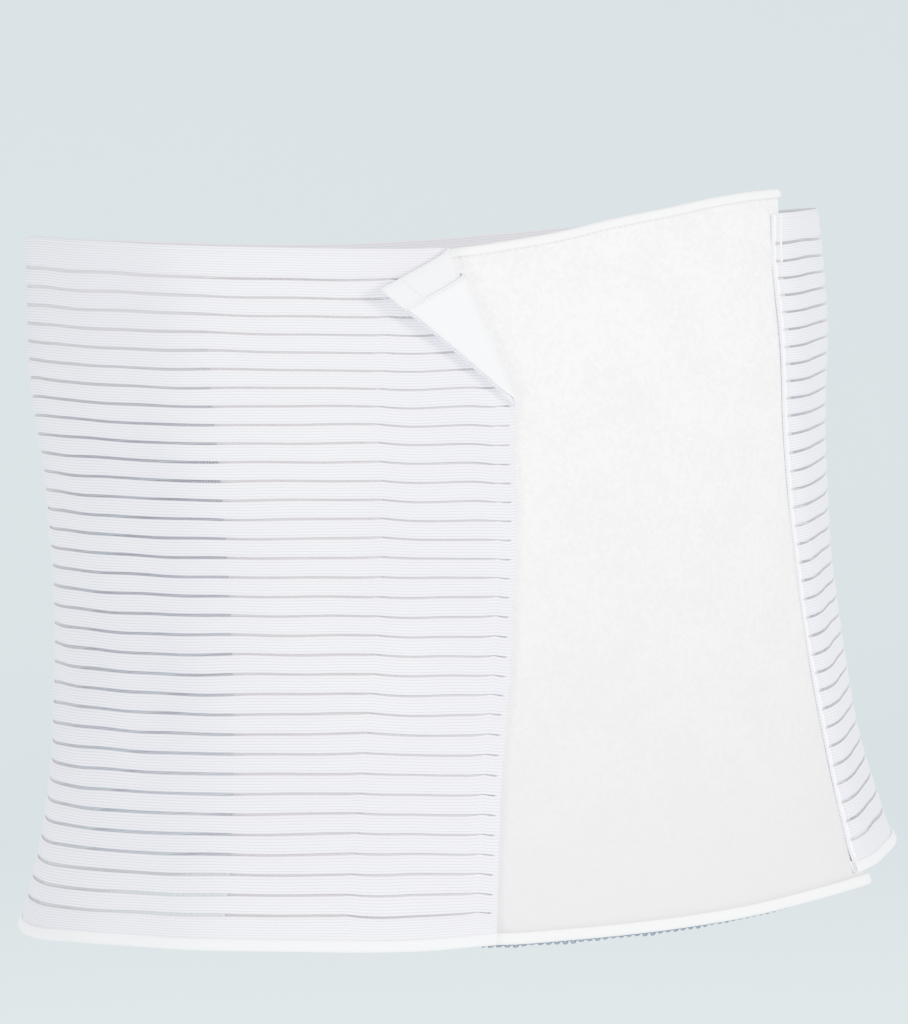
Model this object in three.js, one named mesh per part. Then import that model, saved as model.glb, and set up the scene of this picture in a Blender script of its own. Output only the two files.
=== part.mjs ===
// An abdominal binder in the shape it takes round a torso.
// A ribbed elastic wrap runs from its lap end at the front midline, round the wearer's right side and
// the back, to a seam on the left flank. There it is sewn onto the edge of a padded velour panel,
// which crosses the front and ends under the lap. A hook strip behind the lap end grips the panel,
// and the lap's upper corner is turned back, with the strip on its face.
// Millimetres, +Z up, wearer facing -Y. The origin is in the middle of the torso space.
import * as THREE from "three";

// Torso that the binder is wrapped on
const BINDER_HEIGHT = 280;
const WAIST_HALF_WIDTH = 164.5;
const WAIST_HALF_DEPTH = 117.7;
const BACK_DEPTH_SHARE = 0.96;
const FRONT_FULLNESS = 0.06;
const BACK_FULLNESS = 0.12;

// Fabrics and the gaps between them
const GAP = 0.3;
const ELASTIC_THICKNESS = 1.8;
const PANEL_THICKNESS = 3;
const PANEL_BORDER_THICKNESS = 1.4;
const PANEL_BORDER = 6;
const HOOK_THICKNESS = 1.2;
const BINDING_WALL = 0.8;
const LOW_BINDING_HEIGHT = 4.8;
const TOP_BINDING_HEIGHT = 3.4;

// Ribs of the elastic
const SLIT_COUNT = 34;
const SLIT_WIDTH = 1.2;
const TOP_BAND = 13.1;
const LOW_BAND = 13.5;
const ROW_SWELL = 0.045;
const END_HEM = 1.5;
const SEAM_HEM = 5;

// Places along the waist girth, measured from the front midline, positive to the wearer's left
const PANEL_FREE_END = -119;
const SEAM_AT = 132;
const SEAM_OVERLAP = 8.5;
const LAP_RAMP = 22;
const SEAM_RAMP = 15;
const HOOK_WIDTH = 51.5;
const HOOK_END_MARGIN = 12;
const CREASE_RAMP = 5;
const EDGE_CLEARANCE = 0.5;
const PANEL_TOP_OVERHANG = 6.4;
const PANEL_LOW_OVERHANG = 1.7;

// Turned-back corner
const FOLD_ALONG_TOP = 36.7;
const FOLD_DOWN_END = 75;
const FOLD_RADIUS_TOP = 1.9;
const FOLD_RADIUS_LOW = 1.1;
const FOLD_ANGLE = THREE.MathUtils.degToRad(171);
const FOLD_SLANT = 0.12;

// Counts of steps
const ROUND_STEPS = 16;
const LAP_STEPS = 2;
const ROLL_STEPS = 4;
const PANEL_STEPS = 10;
const PANEL_LEVELS = 14;
const HOOK_ROWS_PER_LEVEL = { flat: 6, tip: 1, fold: 2 };
const ARC_STEPS = 720;

// Torso sections: height as a share of the binder height, width and depth of the waist's half sizes
const TORSO = [
  { height: -0.56, width: 1.172, depth: 1.13 },
  { height: -0.5, width: 1.143, depth: 1.115 },
  { height: -0.333, width: 1.06, depth: 1.072 },
  { height: -0.167, width: 1.019, depth: 1.025 },
  { height: 0, width: 1, depth: 1 },
  { height: 0.167, width: 1.002, depth: 1 },
  { height: 0.333, width: 1.023, depth: 1.021 },
  { height: 0.5, width: 1.012, depth: 1.03 },
  { height: 0.56, width: 1.004, depth: 1.032 },
];

// Edges of the wrap: share of the girth from the front midline round by the wearer's right,
// and how far each edge lies above its nominal height, as a share of the binder height
const WRAP_EDGES = [
  { around: -0.012, top: 0.009, low: 0.003 },
  { around: 0.026, top: -0.007, low: 0.005 },
  { around: 0.053, top: -0.004, low: 0.005 },
  { around: 0.106, top: 0.009, low: 0.016 },
  { around: 0.141, top: 0.018, low: 0.02 },
  { around: 0.197, top: 0.03, low: 0.018 },
  { around: 0.243, top: 0.036, low: 0.007 },
  { around: 0.34, top: 0.022, low: -0.004 },
  { around: 0.5, top: -0.02, low: -0.018 },
  { around: 0.66, top: -0.01, low: 0.004 },
  { around: 0.76, top: 0, low: 0.026 },
  { around: 0.807, top: 0.002, low: 0.032 },
  { around: 0.87, top: 0.004, low: 0.023 },
];

// Edges of the panel, the same way, from its free end to the seam
const PANEL_EDGES = [
  { around: -0.131, top: -0.021, low: 0.032 },
  { around: -0.065, top: -0.016, low: 0.021 },
  { around: -0.022, top: -0.011, low: 0.002 },
  { around: 0.007, top: -0.004, low: -0.002 },
  { around: 0.029, top: 0.004, low: -0.004 },
  { around: 0.053, top: 0.016, low: -0.005 },
  { around: 0.096, top: 0.029, low: -0.004 },
  { around: 0.155, top: 0.039, low: 0 },
];

// Lap end and seam lines: height as a share of the binder height, place as a share of the girth
const LAP_END = [
  { height: 0, around: -0.0235 },
  { height: 0.2, around: -0.0185 },
  { height: 0.4, around: -0.009 },
  { height: 0.6, around: -0.0025 },
  { height: 0.74, around: -0.001 },
  { height: 1, around: 0.0095 },
];
const SEAM_LINE = [
  { height: 0, around: 0.001 },
  { height: 0.17, around: 0.0055 },
  { height: 0.5, around: 0.002 },
  { height: 0.73, around: -0.0033 },
  { height: 0.92, around: -0.0076 },
  { height: 1, around: -0.005 },
];

// Distances off the torso of the layers over the panel
const SEAM_OFFSET = PANEL_BORDER_THICKNESS + BINDING_WALL + 2 * GAP;
const HOOK_OFFSET = PANEL_THICKNESS + 2 * GAP;
const LAP_OFFSET = PANEL_THICKNESS + BINDING_WALL + 3 * GAP;
const OVER_HOOK_OFFSET = HOOK_OFFSET + HOOK_THICKNESS + GAP;
const ROW_PITCH = (BINDER_HEIGHT - TOP_BAND - LOW_BAND) / (SLIT_COUNT - 1);

// Smooth curve through the rows of a table, held level beyond its ends
function follow(rows, column, value, at) {
  const last = rows.length - 1;
  if (at <= rows[0][column]) return rows[0][value];
  if (at >= rows[last][column]) return rows[last][value];
  let k = 0;
  while (at > rows[k + 1][column]) k += 1;
  const slope = (m) => {
    const a = rows[Math.max(m - 1, 0)];
    const b = rows[Math.min(m + 1, last)];
    return (b[value] - a[value]) / (b[column] - a[column]);
  };
  const span = rows[k + 1][column] - rows[k][column];
  const u = (at - rows[k][column]) / span;
  const u2 = u * u;
  const u3 = u2 * u;
  return (
    (2 * u3 - 3 * u2 + 1) * rows[k][value] +
    (u3 - 2 * u2 + u) * span * slope(k) +
    (3 * u2 - 2 * u3) * rows[k + 1][value] +
    (u3 - u2) * span * slope(k + 1)
  );
}

const between = (at, from, to) => THREE.MathUtils.smoothstep(at, from, to);
const shares = (count) => Array.from({ length: count + 1 }, (_, k) => k / count);

// Point of the torso and the level direction that points away from it
function torso(angle, z, proud = 0) {
  const share = z / BINDER_HEIGHT;
  const halfWidth = WAIST_HALF_WIDTH * follow(TORSO, "height", "width", share) + proud;
  const halfDepth = WAIST_HALF_DEPTH * follow(TORSO, "height", "depth", share) + proud;
  const sine = Math.sin(angle);
  const cosine = Math.cos(angle);
  const front = cosine > 0;
  const full = front ? FRONT_FULLNESS : BACK_FULLNESS;
  const deep = front ? halfDepth : halfDepth * BACK_DEPTH_SHARE;
  const x = halfWidth * sine * (1 + full * cosine * cosine);
  const y = -deep * cosine * (1 + full * sine * sine);
  const alongX = halfWidth * cosine * (1 + full * (cosine * cosine - 2 * sine * sine));
  const alongY = deep * sine * (1 + full * (sine * sine - 2 * cosine * cosine));
  const length = Math.hypot(alongX, alongY);
  return { x, y, outX: alongY / length, outY: -alongX / length };
}

// Running length round the waist outside a single layer of elastic, from the front midline
const arcLengths = [0];
for (let k = 1; k <= ARC_STEPS; k += 1) {
  const a = torso(((k - 1) * 2 * Math.PI) / ARC_STEPS, 0, ELASTIC_THICKNESS);
  const b = torso((k * 2 * Math.PI) / ARC_STEPS, 0, ELASTIC_THICKNESS);
  arcLengths.push(arcLengths[k - 1] + Math.hypot(b.x - a.x, b.y - a.y));
}
const GIRTH = arcLengths[ARC_STEPS];

function angleAt(along) {
  const turns = Math.floor(along / GIRTH);
  const rest = along - turns * GIRTH;
  let low = 0;
  let high = ARC_STEPS;
  while (high - low > 1) {
    const middle = Math.floor((low + high) / 2);
    if (arcLengths[middle] <= rest) low = middle;
    else high = middle;
  }
  const part = (rest - arcLengths[low]) / (arcLengths[high] - arcLengths[low]);
  return ((low + part) / ARC_STEPS + turns) * 2 * Math.PI;
}

function alongAt(angle) {
  const turns = Math.floor(angle / (2 * Math.PI));
  const steps = (angle / (2 * Math.PI) - turns) * ARC_STEPS;
  const low = Math.floor(steps);
  const high = Math.min(low + 1, ARC_STEPS);
  return arcLengths[low] + (arcLengths[high] - arcLengths[low]) * (steps - low) + turns * GIRTH;
}

// Place along the girth, height and distance off the torso, as a point
function place(along, z, off) {
  const at = torso(angleAt(along), z);
  return new THREE.Vector3(at.x + at.outX * off, at.y + at.outY * off, z);
}

// Closed wall over a grid of stations and levels, with holes where open() says so
function wall(stations, levels, inner, outer, open = () => false) {
  const positions = [];
  const faces = [];
  const row = stations + 1;
  for (const side of [inner, outer])
    for (let j = 0; j <= levels; j += 1)
      for (let i = 0; i <= stations; i += 1) positions.push(...side(i, j).toArray());
  const at = (side, i, j) => side * row * (levels + 1) + j * row + i;
  const quad = (a, b, c, d) => faces.push(a, b, c, a, c, d);
  const solid = (i, j) => i >= 0 && j >= 0 && i < stations && j < levels && !open(i, j);
  for (let j = 0; j < levels; j += 1)
    for (let i = 0; i < stations; i += 1) {
      if (!solid(i, j)) continue;
      quad(at(1, i, j), at(1, i + 1, j), at(1, i + 1, j + 1), at(1, i, j + 1));
      quad(at(0, i, j), at(0, i, j + 1), at(0, i + 1, j + 1), at(0, i + 1, j));
      if (!solid(i - 1, j)) quad(at(0, i, j), at(1, i, j), at(1, i, j + 1), at(0, i, j + 1));
      if (!solid(i + 1, j))
        quad(at(1, i + 1, j), at(0, i + 1, j), at(0, i + 1, j + 1), at(1, i + 1, j + 1));
      if (!solid(i, j - 1)) quad(at(0, i, j), at(0, i + 1, j), at(1, i + 1, j), at(1, i, j));
      if (!solid(i, j + 1))
        quad(at(1, i, j + 1), at(1, i + 1, j + 1), at(0, i + 1, j + 1), at(0, i, j + 1));
    }
  return closed(positions, faces);
}

// Closed bar through a row of rings round one outline, drawn clockwise off the torso and up
function bar(rings, outline) {
  const count = rings[0].length;
  const faces = [];
  for (let r = 0; r + 1 < rings.length; r += 1)
    for (let k = 0; k < count; k += 1) {
      const next = (k + 1) % count;
      const a = r * count + k;
      const b = r * count + next;
      faces.push(a, b, b + count, a, b + count, a + count);
    }
  const lastRing = (rings.length - 1) * count;
  for (const [a, b, c] of THREE.ShapeUtils.triangulateShape(outline, [])) {
    faces.push(a, b, c);
    faces.push(lastRing + a, lastRing + c, lastRing + b);
  }
  return closed(rings.flat().flatMap((p) => p.toArray()), faces);
}

function closed(positions, faces) {
  const geometry = new THREE.BufferGeometry();
  geometry.setAttribute("position", new THREE.Float32BufferAttribute(positions, 3));
  geometry.setIndex(faces);
  geometry.computeVertexNormals();
  return geometry;
}

// Heights of the wrap and the panel; up is the distance from the fabric's lower edge
const wrapTop = (along) =>
  BINDER_HEIGHT * (0.5 + follow(WRAP_EDGES, "around", "top", -along / GIRTH));
const wrapLow = (along) =>
  BINDER_HEIGHT * (-0.5 + follow(WRAP_EDGES, "around", "low", -along / GIRTH));

function wrapHeight(along, up) {
  const share = up / BINDER_HEIGHT;
  const low = wrapLow(along);
  return low + (wrapTop(along) - low) * (share + ROW_SWELL * share * (1 - share));
}

function panelTop(along) {
  const free = BINDER_HEIGHT * (0.5 + follow(PANEL_EDGES, "around", "top", along / GIRTH));
  const seam = wrapTop(SEAM_AT - GIRTH) + TOP_BINDING_HEIGHT + PANEL_TOP_OVERHANG;
  return THREE.MathUtils.lerp(free, seam, between(along, SEAM_AT / 2, SEAM_AT));
}

function panelLow(along) {
  const free = BINDER_HEIGHT * (-0.5 + follow(PANEL_EDGES, "around", "low", along / GIRTH));
  const seam = wrapLow(SEAM_AT - GIRTH) - LOW_BINDING_HEIGHT - PANEL_LOW_OVERHANG;
  return THREE.MathUtils.lerp(free, seam, between(along, SEAM_AT / 2, SEAM_AT));
}

const lapEnd = (up) => GIRTH * follow(LAP_END, "height", "around", up / BINDER_HEIGHT);
const seamLine = (share) => SEAM_AT + GIRTH * follow(SEAM_LINE, "height", "around", share);
const hookEdge = (up) => lapEnd(up) - END_HEM - HOOK_WIDTH;

// Distance of the wrap's inner face off the torso: it lifts over the panel at the seam and at the lap
function wrapOffset(along, up) {
  const panelEdge = seamLine(up / BINDER_HEIGHT) - GIRTH + SEAM_OVERLAP + EDGE_CLEARANCE;
  const overSeam = 1 - between(along, panelEdge, panelEdge + SEAM_RAMP);
  const overPanel = between(along, PANEL_FREE_END - LAP_RAMP, PANEL_FREE_END - EDGE_CLEARANCE);
  const overHook = between(along, hookEdge(up) - CREASE_RAMP, hookEdge(up) - EDGE_CLEARANCE);
  return (
    SEAM_OFFSET * overSeam +
    LAP_OFFSET * overPanel +
    (OVER_HOOK_OFFSET - LAP_OFFSET) * overHook
  );
}

// Turned-back corner: the fold starts on a line from the top edge down to the lap end,
// rolls outwards round an axis in front of the wrap, and then runs back straight, slanting up a little
const foldTop = {
  along: lapEnd(BINDER_HEIGHT) - FOLD_ALONG_TOP,
  z: wrapTop(lapEnd(BINDER_HEIGHT) - FOLD_ALONG_TOP),
};
const foldLowUp = BINDER_HEIGHT - FOLD_DOWN_END;
const foldLow = { along: lapEnd(foldLowUp), z: wrapHeight(lapEnd(foldLowUp), foldLowUp) };
const foldLength = Math.hypot(foldLow.along - foldTop.along, foldLow.z - foldTop.z);
const down = {
  along: (foldLow.along - foldTop.along) / foldLength,
  z: (foldLow.z - foldTop.z) / foldLength,
};
const across = { along: -down.z, z: down.along };

function turned(along, z, off) {
  const fromAlong = along - foldTop.along;
  const fromZ = z - foldTop.z;
  const distance = fromAlong * across.along + fromZ * across.z;
  if (distance <= 0) return place(along, z, off);
  const onFold = fromAlong * down.along + fromZ * down.z;
  const inside = THREE.MathUtils.lerp(
    FOLD_RADIUS_TOP,
    FOLD_RADIUS_LOW,
    THREE.MathUtils.clamp(onFold / foldLength, 0, 1),
  );
  const face = OVER_HOOK_OFFSET + ELASTIC_THICKNESS;
  const axis = face + inside;
  const radius = axis - off;
  const middle = inside + ELASTIC_THICKNESS / 2;
  const turn = Math.min(distance / middle, FOLD_ANGLE);
  const beyond = Math.max(distance - middle * FOLD_ANGLE, 0);
  const sideways = radius * Math.sin(turn) + beyond * Math.cos(turn);
  const outwards = axis - radius * Math.cos(turn) + beyond * Math.sin(turn);
  const lengthwise = onFold - FOLD_SLANT * beyond;
  return place(
    foldTop.along + lengthwise * down.along + sideways * across.along,
    foldTop.z + lengthwise * down.z + sideways * across.z,
    outwards,
  );
}

// Stations of the lap from the hook strip's inner edge to the end hem, closer where the corner rolls
const FOLD_SAMPLE_WIDTH = 9;
const ROLL_WIDTH = ((FOLD_RADIUS_TOP + ELASTIC_THICKNESS / 2) * FOLD_ANGLE) / across.along;
function lapStations(up) {
  const foldWidth = (FOLD_ALONG_TOP * (up - foldLowUp)) / FOLD_DOWN_END;
  const start = lapEnd(up) - Math.max(foldWidth, FOLD_SAMPLE_WIDTH);
  const end = lapEnd(up) - END_HEM;
  const inner = hookEdge(up);
  const roll = Math.min(ROLL_WIDTH, 0.8 * (end - start));
  return [
    inner,
    (inner + start) / 2,
    ...shares(ROLL_STEPS).map((share) => start + share * roll),
    end,
  ];
}

function wrapStations(up) {
  const seam = seamLine(up / BINDER_HEIGHT) - GIRTH;
  const panelEdge = seam + SEAM_OVERLAP + EDGE_CLEARANCE;
  const roundFrom = angleAt(panelEdge + SEAM_RAMP);
  const roundTo = angleAt(PANEL_FREE_END - LAP_RAMP);
  const round = shares(ROUND_STEPS).map((share) =>
    alongAt(THREE.MathUtils.lerp(roundFrom, roundTo, share)),
  );
  const creaseStart = hookEdge(up) - CREASE_RAMP;
  const lap = shares(LAP_STEPS).map((share) =>
    THREE.MathUtils.lerp(PANEL_FREE_END - EDGE_CLEARANCE, creaseStart, share),
  );
  return [seam, seam + SEAM_HEM, panelEdge, ...round, ...lap, ...lapStations(up), lapEnd(up)];
}

// Heights of the wrap's rows: its lower edge, both sides of each slit, and its top edge
const wrapLevels = [BINDING_WALL + GAP];
for (let k = 0; k < SLIT_COUNT; k += 1) {
  const centre = LOW_BAND + k * ROW_PITCH;
  wrapLevels.push(centre - SLIT_WIDTH / 2, centre + SLIT_WIDTH / 2);
}
wrapLevels.push(BINDER_HEIGHT);

function elasticWrap() {
  const grid = wrapLevels.map((up) => wrapStations(up));
  const stations = grid[0].length - 1;
  const side = (proud) => (i, j) => {
    const along = grid[j][i];
    const up = wrapLevels[j];
    return turned(along, wrapHeight(along, up), wrapOffset(along, up) + proud);
  };
  const slit = (i, j) => j % 2 === 1 && i > 0 && i < stations - 1;
  return wall(stations, wrapLevels.length - 1, side(0), side(ELASTIC_THICKNESS), slit);
}

// The hook strip follows the wrap's rows where the corner turns, and has fewer levels below
function hookStrip() {
  const rowsPerLevel = (up) => {
    if (up < foldLowUp - ROW_PITCH) return HOOK_ROWS_PER_LEVEL.flat;
    return up < foldLowUp + FOLD_DOWN_END / 3 ? HOOK_ROWS_PER_LEVEL.tip : HOOK_ROWS_PER_LEVEL.fold;
  };
  const levels = wrapLevels.filter(
    (up, row) =>
      up > HOOK_END_MARGIN &&
      up < BINDER_HEIGHT - HOOK_END_MARGIN &&
      (row - 1) % rowsPerLevel(up) === 0,
  );
  const grid = levels.map((up) => lapStations(up));
  const side = (off) => (i, j) => {
    const along = grid[j][i];
    return turned(along, wrapHeight(along, levels[j]), off);
  };
  const stations = grid[0].length - 1;
  return wall(stations, levels.length - 1, side(HOOK_OFFSET), side(HOOK_OFFSET + HOOK_THICKNESS));
}

// Section of a folded binding round a fabric's edge: off the torso, and up from the folded edge
function bindingOutline(inner, outer, height) {
  const inside = inner - GAP;
  const outside = outer + GAP;
  return [
    [inside, 0],
    [outside, 0],
    [outside + BINDING_WALL, BINDING_WALL],
    [outside + BINDING_WALL, height],
    [outside, height],
    [outside, BINDING_WALL],
    [inside, BINDING_WALL],
    [inside, height],
    [inside - BINDING_WALL, height],
    [inside - BINDING_WALL, BINDING_WALL],
  ].map(([off, up]) => new THREE.Vector2(off, up));
}

function lowBinding(stations, inner, thickness, edge) {
  const section = (along) =>
    bindingOutline(inner(along), inner(along) + thickness, LOW_BINDING_HEIGHT).reverse();
  const rings = stations.map((along) => section(along).map((p) => place(along, edge(along) + p.y, p.x)));
  return bar(rings, section(stations[0]));
}

function topBinding(stations, thickness, edge) {
  const section = bindingOutline(0, thickness, TOP_BINDING_HEIGHT).map(
    (p) => new THREE.Vector2(p.x, -p.y),
  );
  const rings = stations.map((along) => section.map((p) => place(along, edge(along) + p.y, p.x)));
  return bar(rings, section);
}

function wrapLowBinding() {
  const rolled = lapStations(0).slice(3, -1);
  const stations = wrapStations(0).filter((along) => !rolled.includes(along));
  return lowBinding(stations, (along) => wrapOffset(along, 0), ELASTIC_THICKNESS, wrapLow);
}

// The panel's border is sewn down thin: under its bindings, at its free end and under the wrap
function panelStations(share) {
  const seam = seamLine(share);
  const thin = seam - 2 * EDGE_CLEARANCE;
  const full = shares(PANEL_STEPS).map((part) =>
    THREE.MathUtils.lerp(PANEL_FREE_END + PANEL_BORDER, thin - PANEL_BORDER, part),
  );
  return [PANEL_FREE_END, ...full, thin, seam + SEAM_OVERLAP];
}

function loopPanel() {
  const edge = BINDING_WALL + GAP;
  const levels = [
    { share: 0, up: edge, thick: PANEL_BORDER_THICKNESS },
    { share: 0, up: LOW_BINDING_HEIGHT + GAP, thick: PANEL_BORDER_THICKNESS },
    ...shares(PANEL_LEVELS).map((share) => ({
      share,
      up: THREE.MathUtils.lerp(
        LOW_BINDING_HEIGHT + PANEL_BORDER,
        -TOP_BINDING_HEIGHT - PANEL_BORDER,
        share,
      ),
      thick: PANEL_THICKNESS,
    })),
    { share: 1, up: -TOP_BINDING_HEIGHT - GAP, thick: PANEL_BORDER_THICKNESS },
    { share: 1, up: -edge, thick: PANEL_BORDER_THICKNESS },
  ];
  const side = (outside) => (i, j) => {
    const { share, up, thick } = levels[j];
    const along = panelStations(share)[i];
    const z = THREE.MathUtils.lerp(panelLow(along), panelTop(along), share) + up;
    const border = i === 0 || i > PANEL_STEPS + 1;
    return place(along, z, outside ? (border ? PANEL_BORDER_THICKNESS : thick) : 0);
  };
  return wall(PANEL_STEPS + 3, levels.length - 1, side(false), side(true));
}

const panelTopBinding = () => topBinding(panelStations(1), PANEL_BORDER_THICKNESS, panelTop);
const panelLowBinding = () =>
  lowBinding(panelStations(0), () => 0, PANEL_BORDER_THICKNESS, panelLow);

function fabric(name, geometry, color, roughness) {
  const material = new THREE.MeshStandardMaterial({ color, roughness, metalness: 0 });
  const mesh = new THREE.Mesh(geometry, material);
  mesh.name = name;
  return mesh;
}

const binder = new THREE.Group();
binder.name = "abdominal_binder";
binder.add(
  fabric("elastic_wrap", elasticWrap(), 0xe9e7f2, 0.85),
  fabric("wrap_low_binding", wrapLowBinding(), 0xf6f4f6, 0.8),
  fabric("hook_strip", hookStrip(), 0xf4f7fb, 0.6),
  fabric("loop_panel", loopPanel(), 0xf6f1ee, 0.95),
  fabric("panel_top_binding", panelTopBinding(), 0xfaf6f0, 0.8),
  fabric("panel_low_binding", panelLowBinding(), 0xf6eeee, 0.8),
);

export default binder;
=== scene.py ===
import math

import bpy
import numpy as np
from mathutils import Matrix, Vector


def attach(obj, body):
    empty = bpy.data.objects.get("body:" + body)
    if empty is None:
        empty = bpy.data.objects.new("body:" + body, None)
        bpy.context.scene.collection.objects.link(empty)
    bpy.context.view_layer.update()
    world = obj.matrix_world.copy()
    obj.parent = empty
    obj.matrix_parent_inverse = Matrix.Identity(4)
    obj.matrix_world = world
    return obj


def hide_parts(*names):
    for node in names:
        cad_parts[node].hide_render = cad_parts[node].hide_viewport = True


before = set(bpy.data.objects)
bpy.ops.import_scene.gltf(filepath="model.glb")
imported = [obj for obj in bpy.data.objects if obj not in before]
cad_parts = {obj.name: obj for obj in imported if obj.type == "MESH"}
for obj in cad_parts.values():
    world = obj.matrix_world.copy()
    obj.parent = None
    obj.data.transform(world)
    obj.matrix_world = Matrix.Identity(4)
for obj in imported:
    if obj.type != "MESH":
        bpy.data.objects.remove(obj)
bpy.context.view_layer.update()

# An abdominal binder: a ribbed elastic wrap whose seam end is sewn onto a padded velour panel, and
# whose lap end grips that panel with a hook strip. The lap's upper corner is turned back.
# Metres, +Z up, the front facing -Y. Places along the girth start at the front midline.

mm = 0.001

# Form that the binder is wrapped to
BINDER_HEIGHT = 280 * mm
WAIST_HALF_WIDTH = 164.5 * mm
WAIST_HALF_DEPTH = 117.7 * mm
BACK_DEPTH_SHARE = 0.96
FRONT_FULLNESS = 0.06
BACK_FULLNESS = 0.12

# Fabrics and the gaps between them
GAP = 0.3 * mm
ELASTIC_THICKNESS = 1.8 * mm
PANEL_THICKNESS = 3 * mm
PANEL_BORDER_THICKNESS = 1.4 * mm
PANEL_BORDER = 6 * mm
HOOK_THICKNESS = 1.2 * mm
BINDING_WALL = 0.8 * mm
LOW_BINDING_HEIGHT = 4.8 * mm
TOP_BINDING_HEIGHT = 3.4 * mm
PIPING_THICKNESS = 2.6 * mm
EDGE_CLEARANCE = 0.5 * mm
PRESSED_OUT = 0.2 * mm

# Shares of a darker or a lighter colour. The covered, hem, slit and panel shades are painted shade
COVERED_SHADE = 0.85
HEM_SHADE = 0.06
SLIT_SHADE = 0.8
REVERSE_TINT = 0.65
PANEL_SHADE = 0.72
SELF_EDGE_TINT = 0.5

# Ribs of the elastic
SLIT_COUNT = 34
SLIT_WIDTH = 1.2 * mm
TOP_BAND = 13.1 * mm
LOW_BAND = 13.5 * mm
ROW_SWELL = 0.045
BACK_NARROWING = 0.92
OVER_PANEL_NARROWING = 0.22
OVER_HOOK_NARROWING = 0.14
CORD_PITCH = 1.08 * mm
LAP_HEM = 1.6 * mm
LAP_HEM_DOUBLED = 9 * mm
THREAD_PITCH = 1.3 * mm
# Close, dark cross threads that fill the lowest slits with painted shade
CLOSE_THREAD_PITCH = 0.36 * mm
CLOSE_THREAD_LENGTH = 105 * mm
CLOSE_THREAD_SLITS = 3
CROSS_THREAD_RADIUS = 0.11 * mm
OVERCAST_PITCH = 3 * mm
OVERCAST_END = 96 * mm
LAP_STITCH = 7 * mm
SEAM_HEM = 2.6 * mm

# Places along the girth
PANEL_FREE_END = -119 * mm
SEAM_AT = 132 * mm
SEAM_OVERLAP = 8.5 * mm
LAP_RAMP = 42 * mm
SEAM_RAMP = 26 * mm
SEAM_SINK = 1.1 * mm
SEAM_THREAD_FROM_END = 1.5 * mm
CORNER_THREAD_FROM_END = 5 * mm
HOOK_WIDTH = 52.2 * mm
HOOK_FROM_END = 0.8 * mm
HOOK_END_MARGIN = 12 * mm
CREASE_RAMP = 5 * mm
PANEL_TOP_OVERHANG = 6.4 * mm
PANEL_LOW_OVERHANG = 1.7 * mm

# Turned-back corner
FOLD_ALONG_TOP = 36.7 * mm
FOLD_DOWN_END = 75 * mm
FOLD_RADIUS_TOP = 1.9 * mm
FOLD_RADIUS_LOW = 1.1 * mm
FOLD_ANGLE = math.radians(171)
FOLD_SLANT = 0.12

# Sections of that form: height as a share of the binder height, then width and depth as shares of
# the waist's half sizes
FORM_SECTIONS = np.array([
    (-0.56, 1.172, 1.13),
    (-0.5, 1.143, 1.115),
    (-0.333, 1.06, 1.072),
    (-0.167, 1.019, 1.025),
    (0, 1, 1),
    (0.167, 1.002, 1),
    (0.333, 1.023, 1.021),
    (0.5, 1.012, 1.03),
    (0.56, 1.004, 1.032),
])

# Edges of the wrap: share of the girth from the front midline round by -X, then how far the top and
# the lower edge rise, as shares of the height
WRAP_EDGES = np.array([
    (-0.012, 0.009, 0.003),
    (0.026, -0.007, 0.005),
    (0.053, -0.004, 0.005),
    (0.106, 0.009, 0.016),
    (0.141, 0.018, 0.02),
    (0.197, 0.03, 0.018),
    (0.243, 0.036, 0.007),
    (0.34, 0.022, -0.004),
    (0.5, -0.02, -0.018),
    (0.66, -0.01, 0.004),
    (0.76, 0, 0.026),
    (0.807, 0.002, 0.032),
    (0.87, 0.004, 0.023),
])

# Edges of the panel, the same way but round by +X, from its free end to the seam
PANEL_EDGES = np.array([
    (-0.131, -0.021, 0.032),
    (-0.065, -0.016, 0.021),
    (-0.022, -0.011, 0.002),
    (0.007, -0.004, -0.002),
    (0.029, 0.004, -0.004),
    (0.053, 0.016, -0.005),
    (0.096, 0.029, -0.004),
    (0.155, 0.039, 0),
])

# Lap end and seam lines: height as a share of the binder height, place as a share of the girth
LAP_END = np.array([
    (0, -0.0235),
    (0.2, -0.0185),
    (0.4, -0.009),
    (0.6, -0.0025),
    (0.74, -0.001),
    (1, 0.0095),
])
SEAM_LINE = np.array([
    (0, 0.001),
    (0.17, 0.0055),
    (0.5, 0.002),
    (0.73, -0.0033),
    (0.92, -0.0076),
    (1, -0.005),
])

# Lift of the wrap's rows in mm: share of the girth round by -X, then the lift at the lower and at
# the higher of the two shares of the height
ROW_LIFT = np.array([
    (-0.012, -2.9, -3.0),
    (0.0085, -2.9, -2.8),
    (0.0175, -2.6, -0.6),
    (0.026, -1.9, 0.5),
    (0.035, -1.0, 1.1),
    (0.043, -0.4, 1.5),
    (0.06, 0.7, 2.0),
    (0.08, 0.8, 1.9),
    (0.1, 0.2, 1.5),
    (0.13, -0.3, 0.9),
    (0.155, -1.0, 0.4),
    (0.18, -1.5, 0.35),
    (0.21, -1.2, 0.4),
    (0.24, -0.8, 0.7),
    (0.28, -1.2, 0.8),
    (0.34, 0, 0),
    (0.7, 0, 0),
    (0.765, 1.2, 1.8),
    (0.795, 1.5, 2.3),
    (0.83, 0.3, 1.7),
    (0.856, -1.3, 1.5),
    (0.87, -1.3, 1.5),
])
LIFT_SHARES = (0.22, 0.68)

SEAM_OFFSET = PANEL_BORDER_THICKNESS + BINDING_WALL + 2 * GAP
HOOK_OFFSET = PANEL_THICKNESS + 2 * GAP
LAP_OFFSET = PANEL_THICKNESS + BINDING_WALL + 3 * GAP
OVER_HOOK_OFFSET = HOOK_OFFSET + HOOK_THICKNESS + GAP
ROW_PITCH = (BINDER_HEIGHT - TOP_BAND - LOW_BAND) / (SLIT_COUNT - 1)

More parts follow.
